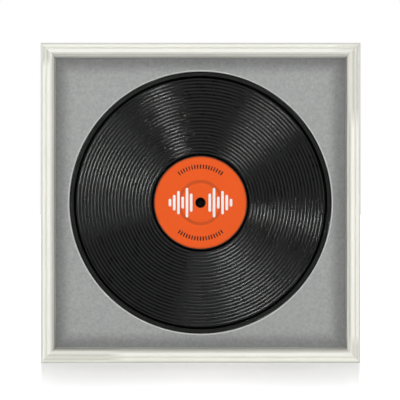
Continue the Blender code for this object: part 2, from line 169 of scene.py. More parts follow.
# The screws
SCREW_HEAD_RADIUS = 0.0028
SCREW_HEAD_HEIGHT = 0.0016
SCREW_HEAD_EDGE = 0.0002
SCREW_SHANK_RADIUS = 0.0012
SCREW_POINT = 0.001
SCREW_DOME_STEPS = 10
SCREW_STEPS = 32
RECESS_LENGTH = 0.0030
RECESS_WIDTH = 0.00055
RECESS_DEPTH = 0.0009
RECESS_RISE = 0.0005
RECESS_TAPER = 0.5
RECESS_TURNS = (30, 120, 210, 300)

# The turn buttons, hangers and bumpers
BUTTON_RADIUS = 0.0045
BUTTON_TIP = 0.0135
BUTTON_THICKNESS = 0.001
BUTTON_BEVEL = 0.00018
BUTTON_STEPS = 24
STRAP_WIDTH = 0.0075
STRAP_LENGTH = 0.022
STRAP_THICKNESS = 0.001
STRAP_BEVEL = 0.00015
STRAP_FOLD = (180, -116)
STRAP_STEPS = 30
BARREL_RADIUS = 0.0023
WIRE_RADIUS = 0.0008
WIRE_ROUNDNESS = 4
BOW_RADIUS = 0.0056
BOW_STEPS = 36
RING_SIDE = 0.0034
RING_CORNER = 0.0014
RING_CORNER_STEPS = 8
BUMPER_RADIUS = 0.0045
BUMPER_ROUND = 0.001
BUMPER_ROUND_STEPS = 6
BUMPER_STEPS = 40


# Node helpers


def new_finish(name, roughness=0.5, metallic=0.0, specular=0.5):
    """A material with its node tree and its shader."""
    finish = bpy.data.materials.new(name)
    finish.use_nodes = True
    tree = finish.node_tree
    shader = tree.nodes["Principled BSDF"]
    shader.inputs["Roughness"].default_value = roughness
    shader.inputs["Metallic"].default_value = metallic
    shader.inputs["Specular IOR Level"].default_value = specular
    return finish, tree, shader


def bare_finish(name):
    """A material with its node tree and no shader yet."""
    finish, tree, shader = new_finish(name)
    tree.nodes.remove(shader)
    return finish, tree


def show(tree, shader):
    """Make a shader node the surface of its material."""
    tree.links.new(shader.outputs[0], tree.nodes["Material Output"].inputs["Surface"])


def node(tree, kind, values=(), **settings):
    """A node with settings by name and inputs by number; an input is a value or another node's output."""
    made = tree.nodes.new(kind)
    for name, value in settings.items():
        setattr(made, name, value)
    for index, value in dict(values).items():
        if isinstance(value, bpy.types.NodeSocket):
            tree.links.new(value, made.inputs[index])
        else:
            made.inputs[index].default_value = value
    return made


def sums(tree, operation, first, second=0.0, third=0.0):
    """One Math node's output."""
    return node(tree, "ShaderNodeMath", {0: first, 1: second, 2: third}, operation=operation).outputs[0]


def vector_sums(tree, operation, *values):
    """The outputs of one Vector Math node."""
    return node(tree, "ShaderNodeVectorMath", enumerate(values), operation=operation).outputs


def mixture(tree, first, second, share):
    """A share of one number and the rest of another."""
    return sums(tree, "MULTIPLY_ADD", first, share, sums(tree, "MULTIPLY", second, 1 - share))


def either(tree, choice, first, second):
    """The first number where the choice is 0 and the second where it is 1."""
    return node(tree, "ShaderNodeMix", {0: choice, 2: first, 3: second}).outputs[0]


def tinted(tree, share, first, second, blend_type="MIX"):
    """A colour with a share of another blended into it."""
    return node(tree, "ShaderNodeMix", {0: share, 6: first, 7: (*second, 1)}, data_type="RGBA",
                blend_type=blend_type).outputs[2]


def object_point(tree):
    """The point of the surface in its object's space, which is the frame's."""
    return node(tree, "ShaderNodeTexCoord").outputs["Object"]


def object_place(tree, scale=(1, 1, 1), centre=(0, 0, 0)):
    """The point of the surface less a centre and then scaled."""
    shift = tuple(-middle * size for middle, size in zip(centre, scale))
    values = {"Vector": object_point(tree), "Location": shift, "Scale": scale}
    return node(tree, "ShaderNodeMapping", values).outputs[0]


def split(tree, place):
    """The X, Y and Z of a vector."""
    return node(tree, "ShaderNodeSeparateXYZ", {0: place}).outputs


def noise(tree, place, scale, detail=3.0, roughness=0.55):
    """A noise between 0 and 1."""
    values = {"Vector": place, "Scale": scale, "Detail": detail, "Roughness": roughness}
    return node(tree, "ShaderNodeTexNoise", values).outputs["Fac"]


def blend(tree, share, low, high, start=0.3, end=0.7):
    """A colour between two, by a share read from start to end."""
    ramp = node(tree, "ShaderNodeValToRGB", {"Fac": share})
    for stop, place, colour in zip(ramp.color_ramp.elements, (start, end), (low, high)):
        stop.position = place
        stop.color = (*colour, 1)
    return ramp.outputs["Color"]


def spread(tree, share, low, high, start=0.3, end=0.7, kind="LINEAR"):
    """A number between two, by a share read from start to end."""
    return node(tree, "ShaderNodeMapRange", {0: share, 1: start, 2: end, 3: low, 4: high},
                interpolation_type=kind).outputs[0]


def smooth(tree, share, low, high, start, end):
    """A number that goes softly between two, by a share read from start to end."""
    return spread(tree, share, low, high, start, end, "SMOOTHSTEP")


def inward(tree, half, shift=(0.0, 0.0)):
    """How far the surface lies inside a square of that half width, shifted from the frame's middle."""
    place = split(tree, object_place(tree, centre=(shift[0], 0, MIDDLE + shift[1])))
    across = sums(tree, "ABSOLUTE", place["X"])
    up = sums(tree, "ABSOLUTE", place["Z"])
    return sums(tree, "SUBTRACT", half, sums(tree, "MAXIMUM", across, up))


def dress(tree, shader, colour, height, relief):
    """Give a shader its colour, and a relief from a height where it has one."""
    tree.links.new(colour, shader.inputs["Base Color"])
    if relief:
        bump = node(tree, "ShaderNodeBump", {"Height": height, "Distance": relief, "Strength": 1.0})
        tree.links.new(bump.outputs["Normal"], shader.inputs["Normal"])


def grey(level):
    return (level, level, level)


# Finishes

PAINT_LOW = (0.866, 0.866, 0.796)
PAINT_HIGH = (0.895, 0.895, 0.826)
# The colour that the painted shade darkens the rails' paint towards
PAINTED_SHADE_COLOUR = (0.2, 0.2, 0.177)
PAINT_ROUGHNESS = (0.36, 0.5)
STREAK_STRETCH = 0.04
# The outer side wall has no painted shade: it begins between these depths, within these widths of the outer
# edge
WALL_DEPTH = (0.0032, 0.0037)
WALL_WIDTH = (0.0020, 0.0026)
# How much painted shade each rail has, from the moulding's outer edge at 0 to its sight edge at 1
PAINTED_SHADES = {
    "bottom": (
        (0.0, 0.48), (0.05, 0.3), (0.09, 0.17), (0.13, 0.0), (0.3, 0.0), (0.355, 0.08), (0.45, 0.02),
        (0.5, 0.0), (0.65, 0.0), (0.72, 0.14), (0.79, 0.28), (0.85, 0.47), (0.9, 0.59), (0.955, 0.69),
        (1.0, 0.93),
    ),
    "left": (
        (0.0, 0.1), (0.07, 0.22), (0.15, 0.22), (0.2, 0.0), (0.35, 0.0), (0.44, 0.2), (0.51, 0.06),
        (0.64, 0.0), (0.71, 0.05), (0.78, 0.13), (0.835, 0.31), (0.89, 0.32), (0.94, 0.66), (1.0, 0.92),
    ),
    "top": (
        (0.0, 0.2), (0.06, 0.38), (0.14, 0.07), (0.19, 0.0), (0.29, 0.03), (0.345, 0.1), (0.43, 0.13),
        (0.5, 0.06), (0.64, 0.0), (0.7, 0.19), (0.77, 0.18), (0.825, 0.38), (0.88, 0.21), (0.94, 0.34),
        (0.99, 0.69),
    ),
    "right": (
        (0.0, 0.6), (0.07, 0.22), (0.13, 0.0), (0.29, 0.02), (0.353, 0.14), (0.42, 0.0), (0.62, 0.0),
        (0.65, 0.05), (0.71, 0.22), (0.775, 0.36), (0.82, 0.1), (0.89, 0.0), (0.91, 0.1), (0.94, 0.77),
        (1.0, 1.0),
    ),
}
# The same painted shade at a rail's dull ends, where it also darkens the crests as if their highlight were
# missing. The left and top rails have the right one's within this span.
END_SHADE_SPAN = (0.05, 0.8)
END_PAINTED_SHADES = {
    "bottom": (
        (0.0, 0.38), (0.084, 0.03), (0.162, 0.12), (0.232, 0.4), (0.303, 0.33), (0.361, 0.0), (0.42, 0.02),
        (0.451, 0.1), (0.521, 0.445), (0.591, 0.3), (0.658, 0.19), (0.722, 0.1), (0.786, 0.05),
        (0.843, 0.35), (0.9, 0.69), (0.955, 0.73), (1.0, 0.97),
    ),
    "right": (
        (0.0, 0.55), (0.072, 0.125), (0.151, 0.24), (0.222, 0.475), (0.292, 0.37), (0.353, 0.01),
        (0.44, 0.24), (0.51, 0.54), (0.581, 0.37), (0.648, 0.245), (0.712, 0.1), (0.776, 0.03),
        (0.835, 0.0), (0.892, 0.22), (0.947, 0.89), (1.0, 1.0),
    ),
}
# Where a rail's dull ends take that painted shade: the places along it where that starts and where it is
# complete, and how far it goes
SHADED_ENDS = {
    "bottom": ((-0.086, -0.107, 1.0),),
    "left": ((MIDDLE + 0.1545, MIDDLE + 0.1645, 0.95),),
    "top": ((0.1485, 0.164, 0.4),),
    "right": ((MIDDLE + 0.084, MIDDLE + 0.108, 1.0), (MIDDLE - 0.151, MIDDLE - 0.163, 0.75)),
}

# The mount's paper has a painted shade of the frame's lip: darker within this span of the edge of a square of
# this half width, whose middle is shifted a little
MOUNT_SIGHT = 0.1673
MOUNT_SHADE = (0.655, 0.655, 0.655)
MOUNT_SHADE_SPAN = (0.0045, 0.0212)
MOUNT_SHADE_SHIFT = (-0.0013, -0.0007)

GLASS_INDEX = 1.33
GLASS_TINT = (0.985, 0.99, 0.987, 1)
GLASS_ROUGHNESS = 0.02
# The least and the most that a metal's roughness drifts to, as shares of it
POLISH_DRIFT = (0.8, 1.25)


def painted_shade_ramp(tree, share, stops):
    """How much painted shade there is, read from stops by share of the moulding's width."""
    ramp = node(tree, "ShaderNodeValToRGB", {"Fac": share})
    for place, left in stops[1:-1]:
        ramp.color_ramp.elements.new(place)
    for stop, (place, left) in zip(ramp.color_ramp.elements, stops):
        stop.position = place
        stop.color = (*grey(left), 1)
    return ramp.outputs["Color"]


def end_painted_shade(side):
    """The stops of the painted shade at a rail's dull ends."""
    if side in END_PAINTED_SHADES:
        return END_PAINTED_SHADES[side]
    own = PAINTED_SHADES[side]
    shared = [stop for stop in END_PAINTED_SHADES["right"] if END_SHADE_SPAN[0] < stop[0] < END_SHADE_SPAN[1]]
    return (own[0], *shared, *[stop for stop in own if stop[0] > END_SHADE_SPAN[1]])


def finish_paint(side):
    """Ivory satin paint, brushed along the rail, with a painted shade across its face that differs from side to
    side.
    """
    finish, tree, shader = new_finish("ivory_paint_and_painted_shade_" + side, specular=0.12)
    along = "X" if side in ("bottom", "top") else "Z"
    stretch = tuple(STREAK_STRETCH if axis == along else 1.0 for axis in "XYZ")
    streaks = noise(tree, object_place(tree, stretch), scale=700, detail=4)
    drift = noise(tree, object_place(tree), scale=22, detail=2)
    unshaded_paint = blend(tree, mixture(tree, drift, streaks, 0.5), PAINT_LOW, PAINT_HIGH, start=0.35, end=0.6)
    place = split(tree, object_point(tree))
    # How far the painted shade of the dull ends has taken over, along the rail
    end_share = 0.0
    for start, end, most in SHADED_ENDS[side]:
        end_share = sums(tree, "ADD", end_share, spread(tree, place[along], 0.0, most, start, end))
    across = inward(tree, FRAME_HALF)
    share = sums(tree, "DIVIDE", across, MOULDING_WIDTH)
    # The painted shade across the rail's face
    mid_rail_shade = painted_shade_ramp(tree, share, PAINTED_SHADES[side])
    # The painted shade goes over from the usual stops to those of the dull ends
    left = spread(tree, end_share, mid_rail_shade, painted_shade_ramp(tree, share, end_painted_shade(side)), 0.0, 1.0)
    # The painted shade stays off the outer side wall
    face = spread(tree, place["Y"], 1.0, 0.0, *[FRONT + depth for depth in WALL_DEPTH])
    face = sums(tree, "MAXIMUM", face, spread(tree, across, 0.0, 1.0, *WALL_WIDTH))
    # The paint darkened by the painted shade
    shaded_paint = tinted(tree, sums(tree, "MULTIPLY", left, face), unshaded_paint, PAINTED_SHADE_COLOUR)
    tree.links.new(spread(tree, streaks, *PAINT_ROUGHNESS), shader.inputs["Roughness"])
    dress(tree, shader, shaded_paint, streaks, relief=0.000015)
    return finish


def finish_mount():
    """Grey mottled facing paper, with a painted shade towards the frame's lip."""
    finish, tree, shader = new_finish("grey_mount_paper", roughness=0.9, specular=0.2)
    cloud = noise(tree, object_place(tree), scale=260, detail=4, roughness=0.7)
    fibre = noise(tree, object_place(tree), scale=1400, detail=3, roughness=0.6)
    paper = blend(tree, mixture(tree, cloud, fibre, 0.55), grey(0.338), grey(0.45), start=0.38, end=0.62)
    # Painted shade of the frame's lip, darkest next to the sight edge
    edge = smooth(tree, inward(tree, MOUNT_SIGHT, MOUNT_SHADE_SHIFT), 1.0, 0.0, *MOUNT_SHADE_SPAN)
    dress(tree, shader, tinted(tree, edge, paper, MOUNT_SHADE, "MULTIPLY"), fibre, relief=0.00008)
    return finish


def finish_hardboard():
    """Brown hardboard: pressed fibres over a soft drift of tone."""
    finish, tree, shader = new_finish("brown_hardboard", roughness=0.7)
    fibres = noise(tree, object_place(tree), scale=900, detail=6, roughness=0.75)
    drift = noise(tree, object_place(tree), scale=18, detail=3)
    board = blend(tree, mixture(tree, drift, fibres, 0.4), (0.16, 0.085, 0.042), (0.31, 0.185, 0.105),
                  start=0.36, end=0.64)
    dress(tree, shader, board, fibres, relief=0.00012)
    return finish


def finish_glass():
    """Clear low-reflection glass that lets the lamp through."""
    finish, tree = bare_finish("clear_glass")
    clear = node(tree, "ShaderNodeBsdfTransparent", {0: GLASS_TINT})
    gloss = node(tree, "ShaderNodeBsdfGlossy", {"Color": (1, 1, 1, 1), "Roughness": GLASS_ROUGHNESS})
    # Only the side that a ray enters by reflects, since rays go through the pane unbent
    entered = sums(tree, "SUBTRACT", 1.0, node(tree, "ShaderNodeNewGeometry").outputs["Backfacing"])
    share = sums(tree, "MULTIPLY", node(tree, "ShaderNodeFresnel", {"IOR": GLASS_INDEX}).outputs[0], entered)
    show(tree, node(tree, "ShaderNodeMixShader", {0: share, 1: clear.outputs[0], 2: gloss.outputs[0]}))
    return finish


def finish_plain(name, low, high, scale, roughness, relief=0.0, metallic=0.0, specular=0.5, detail=4):
    """A finish whose colour and relief drift by one noise."""
    finish, tree, shader = new_finish(name, roughness, metallic, specular)
    grain = noise(tree, object_place(tree), scale, detail)
    if metallic:
        least, most = POLISH_DRIFT
        drift = spread(tree, grain, roughness * least, roughness * most)
        tree.links.new(drift, shader.inputs["Roughness"])
    dress(tree, shader, blend(tree, grain, low, high), grain, relief)
    return finish


def finish_vinyl(name, low, high, roughness, specular=0.5):
    """Polished black vinyl."""
    return finish_plain(name, grey(low), grey(high), scale=90, roughness=roughness, specular=specular, detail=3)


def finish_paper(name, low, high):
    """Printed label paper."""
    return finish_plain(name, low, high, scale=1800, roughness=0.65, relief=0.00001, specular=0.15, detail=3)


def finish_metal(name, low, high, scale, roughness, relief):
    """Plated steel."""
    return finish_plain(name, low, high, scale, roughness, relief, metallic=1.0)


# One paint for each rail, each with its own painted shade
PAINTS_SHADED_BY_SIDE = {side: finish_paint(side) for side in RAIL_TURNS}
MOUNT_PAPER = finish_mount()
MOUNT_CORE = finish_plain("white_mount_core", (0.84, 0.84, 0.825), (0.92, 0.92, 0.905), scale=2200,
                          roughness=0.85, relief=0.00005, detail=3)
VINYL = finish_vinyl("black_vinyl", 0.0218, 0.0251, roughness=0.12)
# Darker vinyl on the ridges and their margins: a painted shade of the dark lines between the ridges' shine
RIDGE_SHADE_VINYL = finish_vinyl("ridge_vinyl_painted_shade", 0.0052, 0.0063, roughness=0.185, specular=0.2)
RIM_VINYL = finish_vinyl("rim_vinyl", 0.0205, 0.0245, roughness=0.15)
CHANNEL_VINYL = finish_vinyl("dead_wax", 0.0008, 0.0014, roughness=0.06, specular=0.15)
LABEL_ORANGE = finish_paper("orange_label_paper", (0.84, 0.106, 0.0152), (0.88, 0.117, 0.0188))
PRINT_WHITE = finish_paper("white_print", (0.90, 0.88, 0.86), (0.95, 0.94, 0.93))
PRINT_BLACK_AND_HUB_SHADE = finish_paper("black_print_and_hub_shade", (0.010, 0.009, 0.009), (0.014, 0.013, 0.013))
PRINT_DARK_AND_EDGE_SHADE = finish_paper("dark_orange_print_and_edge_shade", (0.60, 0.082, 0.015), (0.645, 0.092, 0.019))
STUD_PLASTIC = finish_plain("black_stud_plastic", grey(0.0006), grey(0.0012), scale=800, roughness=0.6,
                            relief=0.000004, specular=0.04)
BRASS = finish_metal("brassed_steel", (0.64, 0.46, 0.19), (0.69, 0.51, 0.23), scale=300, roughness=0.3,
                     relief=0.000003)
NICKEL = finish_metal("nickelled_steel", (0.56, 0.55, 0.52), (0.66, 0.65, 0.62), scale=600, roughness=0.26,
                      relief=0.000005)
FELT = finish_plain("grey_felt", (0.19, 0.19, 0.185), (0.31, 0.31, 0.30), scale=2600, roughness=0.95,
                    relief=0.0003, specular=0.1)
SUPPORT = finish_plain("black_support_board", grey(0.022), grey(0.035), scale=700, roughness=0.8,
                       relief=0.00005)
FILLER = finish_plain("white_foam_board", (0.76, 0.76, 0.73), (0.85, 0.85, 0.82), scale=500, roughness=0.8,
                      relief=0.00005)
FILLET = finish_plain("white_fillet", (0.74, 0.74, 0.68), (0.84, 0.84, 0.78), scale=400, roughness=0.6,
                      relief=0.00003)
HARDBOARD = finish_hardboard()
GLASS = finish_glass()


# Mesh helpers


def mesh_of(shape, name):
    """A mesh made of a bmesh, which is freed."""
    mesh = bpy.data.meshes.new(name)
    shape.to_mesh(mesh)
    shape.free()
    return mesh


def put(name, data):
    """A new object in the scene."""
    made = bpy.data.objects.new(name, data)
    bpy.context.scene.collection.objects.link(made)
    return made


def piece_of(shape, name, finishes, body, nodes=(), sharp=32.0):
    """Close a bmesh into a piece that rides on a body and stands for some CAD nodes."""
    bmesh.ops.recalc_face_normals(shape, faces=shape.faces)
    mesh = mesh_of(shape, name)
    for finish in finishes:
        mesh.materials.append(finish)
    mesh.shade_smooth()
    mesh.set_sharp_from_angle(angle=radians(sharp))
    piece = put(name, mesh)
    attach(piece, body)
    if nodes:
        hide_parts(*nodes)
    return piece


def at(x, depth, z):
    """A point by its place across, its depth and its height from the frame's middle."""
    return Vector((x, FRONT + depth, MIDDLE + z))


def turned(shape, section, steps, centre=(0.0, 0.0)):
    """Spin a closed section of (radius, depth) points about an axis along Y through a centre."""
    x, z = centre
    start = [shape.verts.new(at(x + radius, depth, z)) for radius, depth in section]
    sides = [(index, (index + 1) % len(section)) for index in range(len(section))]
    # A side on the axis itself makes no faces
    edges = [shape.edges.new((start[one], start[two])) for one, two in sides
             if section[one][0] > 0 or section[two][0] > 0]
    bmesh.ops.spin(shape, geom=start + edges, cent=at(x, 0, z), axis=(0, 1, 0), angle=2 * pi, steps=steps,
                   use_merge=True)
    bmesh.ops.remove_doubles(shape, verts=shape.verts, dist=1e-7)
    return shape


def prism(shape, outline, vector):
    """A flat outline of points drawn along a vector; gives the new vertices."""
    before = set(shape.verts)
    face = shape.faces.new([shape.verts.new(point) for point in outline])
    moved = bmesh.ops.extrude_face_region(shape, geom=[face])
    far = [part for part in moved["geom"] if isinstance(part, bmesh.types.BMVert)]
    bmesh.ops.translate(shape, vec=vector, verts=far)
    return [vert for vert in shape.verts if vert not in before]


def turn_about(shape, verts, turn, centre):
    """Turn some vertices about an axis along Y through a centre, by degrees."""
    bmesh.ops.rotate(shape, verts=verts, cent=centre, matrix=Matrix.Rotation(radians(turn), 3, "Y"))


def bevel_sharp(shape, width, angle=40.0):
    """Round the edges that are sharper than an angle."""
    edges = [edge for edge in shape.edges
             if len(edge.link_faces) == 2 and edge.calc_face_angle() > radians(angle)]
    bmesh.ops.bevel(shape, geom=edges, offset=width, offset_type="OFFSET", affect="EDGES", segments=2,
                    profile=0.5, material=-1, clamp_overlap=True)


def arc(centre, radius, first, last, steps):
    """Points of a circular arc, in degrees, both ends included."""
    turns = [radians(first + (last - first) * step / steps) for step in range(steps + 1)]
    return [(centre[0] + radius * cos(turn), centre[1] + radius * sin(turn)) for turn in turns]


def dome(radius, base, top, steps):
    """Points (radius, depth) of a dome's profile, from its rim at the base to its top on the axis."""
    turns = [radians(90 * step / steps) for step in range(steps)]
    return [(radius * cos(turn), base + (top - base) * sin(turn)) for turn in turns] + [(0, top)]


def bend(start, corner, end):
    """The points after start of a curve that leaves towards the corner and comes to end from there."""
    points = []
    for step in range(1, CURVE_STEPS + 1):
        far = step / CURVE_STEPS
        near = 1 - far
        weights = ((near * near, start), (2 * near * far, corner), (far * far, end))
        points.append(tuple(sum(weight * point[axis] for weight, point in weights) for axis in (0, 1)))
    return points


def cut(piece, shape):
    """Take a closed bmesh out of a piece."""
    bmesh.ops.recalc_face_normals(shape, faces=shape.faces)
    mesh = mesh_of(shape, "cutter")
    cutter = put("cutter", mesh)
    modifier = piece.modifiers.new("cut", "BOOLEAN")
    modifier.operation = "DIFFERENCE"
    modifier.solver = "EXACT"
    modifier.object = cutter
    scene_state = bpy.context.evaluated_depsgraph_get()
    finished = bpy.data.meshes.new_from_object(piece.evaluated_get(scene_state))
    piece.modifiers.clear()
    old, piece.data = piece.data, finished
    bpy.data.objects.remove(cutter)
    bpy.data.meshes.remove(mesh)
    bpy.data.meshes.remove(old)


# The four rails


def moulding_section():
    """The rail's section as (distance inward from the outer face, depth) points."""
    def real(share):
        return share[0] * MOULDING_WIDTH, share[1] * LIP_DEPTH

    section = [(0, RAIL_DEPTH)]
    for start, corner, end in MOULDING_BENDS:
        if section[-1] != real(start):
            section.append(real(start))
        section += bend(real(start), real(corner), real(end))
    foot = MOULDING_WIDTH - REBATE_WIDTH
    return section + [(MOULDING_WIDTH, LIP_DEPTH), (foot, LIP_DEPTH), (foot, RAIL_DEPTH)]


def nail_pockets():
    """The L-shaped pockets of the four V-nails, open behind."""
    low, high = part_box("v_nail_bottom_left")
    leg = high.x - low.x + 2 * NAIL_POCKET
    sheet = NAIL_SHEET + 2 * NAIL_POCKET
    corners = ((0, 0), (leg, 0), (leg, sheet), (sheet, sheet), (sheet, leg), (0, leg))
    start = low - Vector((NAIL_POCKET, NAIL_POCKET, NAIL_POCKET))
    pockets = bmesh.new()
    for turn in RAIL_TURNS.values():
        made = prism(pockets, [start + Vector((x, 0, z)) for x, z in corners], (0, POCKET_REACH, 0))
        turn_about(pockets, made, turn, at(0, 0, 0))
    return pockets


def make_rails():
    for side, turn in RAIL_TURNS.items():
        shape = bmesh.new()
        outline = [at(0, depth, inside - FRAME_HALF) for inside, depth in moulding_section()]
        prism(shape, outline, (FRAME_HALF, 0, 0))
        for corner in shape.verts:
            reach = MIDDLE - corner.co.z - MITRE_GAP
            corner.co.x = reach if corner.co.x > 0 else -reach
        turn_about(shape, shape.verts, turn, at(0, 0, 0))
        rail = piece_of(shape, "painted_rail_" + side, [PAINTS_SHADED_BY_SIDE[side]], BODY, ["rail_" + side])
        cut(rail, nail_pockets())


# The mount board


def make_mount():
    """A square board with a round aperture whose 45 degree bevel shows the core."""
    shape = bmesh.new()
    rings = []
    front_radius = APERTURE_BACK_RADIUS + MOUNT_BACK - MOUNT_FRONT
    for radius, depth in ((front_radius, MOUNT_FRONT), (APERTURE_BACK_RADIUS, MOUNT_BACK)):
        place = Matrix.Translation(at(0, depth, 0)) @ Matrix.Rotation(pi / 2, 4, "X")
        made = bmesh.ops.create_circle(shape, segments=MOUNT_STEPS, radius=radius, matrix=place)
        rings.append(set(made["verts"]))
    inner = [[edge for edge in shape.edges if set(edge.verts) <= ring] for ring in rings]
    outer = []
    for edges in inner:
        grown = bmesh.ops.extrude_edge_only(shape, edges=edges)["geom"]
        verts = {part for part in grown if isinstance(part, bmesh.types.BMVert)}
        for vert in verts:
            across, up = vert.co.x, vert.co.z - MIDDLE
            growth = MOUNT_HALF / max(abs(across), abs(up))
            vert.co.x = across * growth
            vert.co.z = MIDDLE + up * growth
        outer += [part for part in grown if isinstance(part, bmesh.types.BMEdge) and set(part.verts) <= verts]
    bmesh.ops.bridge_loops(shape, edges=outer)
    bevel = bmesh.ops.bridge_loops(shape, edges=inner[0] + inner[1])
    for face in bevel["faces"]:
        face.material_index = 1
    piece_of(shape, "mount_with_bevel", [MOUNT_PAPER, MOUNT_CORE], BODY, ["mount_board"])


# The record


def ridge(middle):
    """One raised ring, as (radius, half thickness): a step up on its inner side and an even slope outward."""
    start = middle - RIDGE_WIDTH / 2
    crest = LAND + RIDGE_WIDTH * tan(radians(RIDGE_TILT))
    end = start + RIDGE_WIDTH
    return [(start - RIDGE_MARGIN, LAND), (start - RIDGE_STEP, LAND), (start, crest), (end, LAND),
            (end + RIDGE_MARGIN, LAND)]


def by_ridge(radius):
    """Whether a radius of the record's face lies on a ridge or on the margin beside it, which both take the
    darker vinyl of painted shade.
    """
    nearest = FIRST_RIDGE + RIDGE_PITCH * round((radius - FIRST_RIDGE) / RIDGE_PITCH)
    return abs(radius - nearest) < RIDGE_WIDTH / 2 + RIDGE_MARGIN


def radius_of(point):
    """How far a point lies from the record's axis."""
    return hypot(point.x, point.z - MIDDLE)


def vinyl_at(point):
    """The finish of the record at a point of its surface."""
    radius = radius_of(point)
    if LABEL_SEAT_RADIUS < radius < LAND_START or LAND_END < radius < RIM_START or radius > RIM_END:
        return CHANNEL_VINYL
    if radius > RIM_START:
        return RIM_VINYL
    # Ridges and their margins take the darker vinyl of painted shade
    if point.y < FRONT + RECORD_MIDDLE and LAND_START < radius < LAND_END and by_ridge(radius):
        return RIDGE_SHADE_VINYL
    return VINYL


def make_record():
    face = [(HOLE_RADIUS, LABEL_SEAT), (LABEL_SEAT_RADIUS, LABEL_SEAT)]
    face += [(radius, CHANNEL) for radius in INNER_CHANNEL] + [(LAND_START, LAND)]
    for count in range(RIDGE_COUNT):
        face += ridge(FIRST_RIDGE + count * RIDGE_PITCH)
    face += [(LAND_END, LAND)] + [(radius, CHANNEL) for radius in OUTER_CHANNEL]
    face += [(RIM_START, RIM), (RIM_END, RIM)]
    face += [(RECORD_RADIUS - inside, RIM * share) for inside, share in RIM_EDGE]
    plain = [point for point in face if point[0] <= LAND_START or point[0] >= LAND_END]
    section = [(radius, RECORD_MIDDLE - half) for radius, half in face]
    section += [(radius, RECORD_MIDDLE + half) for radius, half in reversed(plain)]
    shape = turned(bmesh.new(), section, RECORD_STEPS)
    finishes = [VINYL, CHANNEL_VINYL, RIM_VINYL, RIDGE_SHADE_VINYL]
    for part in shape.faces:
        part.material_index = finishes.index(vinyl_at(part.calc_center_median()))
    for point in shape.verts:
        if LAND_START + TOLERANCE < radius_of(point.co) < LAND_END - TOLERANCE:
            point.co += RIDGE_SHIFT
    piece_of(shape, "grooved_record", finishes, BODY, ["record"], sharp=8.0)


# The label and the stud


def flat_ring(shape, radii, front, back):
    """A flat ring round the record's axis."""
    inner, outer = radii
    return turned(shape, [(inner, front), (outer, front), (outer, back), (inner, back)], LABEL_STEPS)


def print_and_shade_ring(shape, radii):
    """A thin flat ring on the label, for print and for painted shade."""
    flat_ring(shape, radii, LABEL_FRONT - BAND_LIFT, LABEL_FRONT + BAND_LIFT)


def printed_bar(shape, centre, width, length, turn=0.0):
    """A bar of print with round ends, turned about the label's middle."""
    end = (length - width) / 2
    outline = arc((0, end), width / 2, 0, 180, BAR_END_STEPS)
    outline += arc((0, -end), width / 2, 180, 360, BAR_END_STEPS)
    move = Matrix.Rotation(radians(turn), 3, "Y")
    points = [move @ Vector((centre[0] + x, 0, centre[1] + z)) for x, z in outline]
    prism(shape, [at(point.x, LABEL_FRONT - PRINT_LIFT, point.z) for point in points],
          (0, PRINT_LIFT + PRINT_SINK, 0))


def make_label():
    paper = flat_ring(bmesh.new(), (HOLE_RADIUS, LABEL_RADIUS), LABEL_FRONT, LABEL_BACK)
    piece_of(paper, "paper_label", [LABEL_ORANGE], BODY, ["label_front"])

    bands_and_edge_shade = bmesh.new()
    # The dark rings: print, and at the label's edge also painted shade
    for radii in DARK_BANDS:
        print_and_shade_ring(bands_and_edge_shade, radii)
    piece_of(bands_and_edge_shade, "label_bands_and_edge_shade", [PRINT_DARK_AND_EDGE_SHADE], BODY)

    bars = bmesh.new()
    for count, length in enumerate(BAR_LENGTHS):
        for side in (-1, 1):
            printed_bar(bars, (side * (BAR_START + count * BAR_SPACING), 0), BAR_WIDTH, length)
    piece_of(bars, "label_wave_bars", [PRINT_WHITE], BODY)

    ticks_and_hub_shade = bmesh.new()
    for middle in (0.0, 180.0):
        for step in range(round(2 * TICK_SPAN / TICK_STEP) + 1):
            turn = middle - TICK_SPAN + step * TICK_STEP
            printed_bar(ticks_and_hub_shade, (0, TICK_RADIUS), TICK_WIDTH, TICK_LENGTH, turn)
    # The black ring round the stud is a painted shadow, not print
    print_and_shade_ring(ticks_and_hub_shade, HUB_SHADOW_RING)
    piece_of(ticks_and_hub_shade, "label_ticks_and_hub_shade", [PRINT_BLACK_AND_HUB_SHADE], BODY)


def make_stud():
    section = dome(STUD_RADIUS, STUD_BACK, STUD_FRONT, STUD_DOME_STEPS)[::-1]
    section += [(STUD_NECK_RADIUS, STUD_BACK), (STUD_NECK_RADIUS, MOUNT_BACK)]
    section += [(STUD_SHANK_RADIUS, MOUNT_BACK), (STUD_SHANK_RADIUS, STUD_TIP), (0, STUD_TIP)]
    shape = turned(bmesh.new(), section, STUD_STEPS)
    piece_of(shape, "domed_stud", [STUD_PLASTIC], BODY, ["centre_stud"])


# Fasteners and fittings on the back


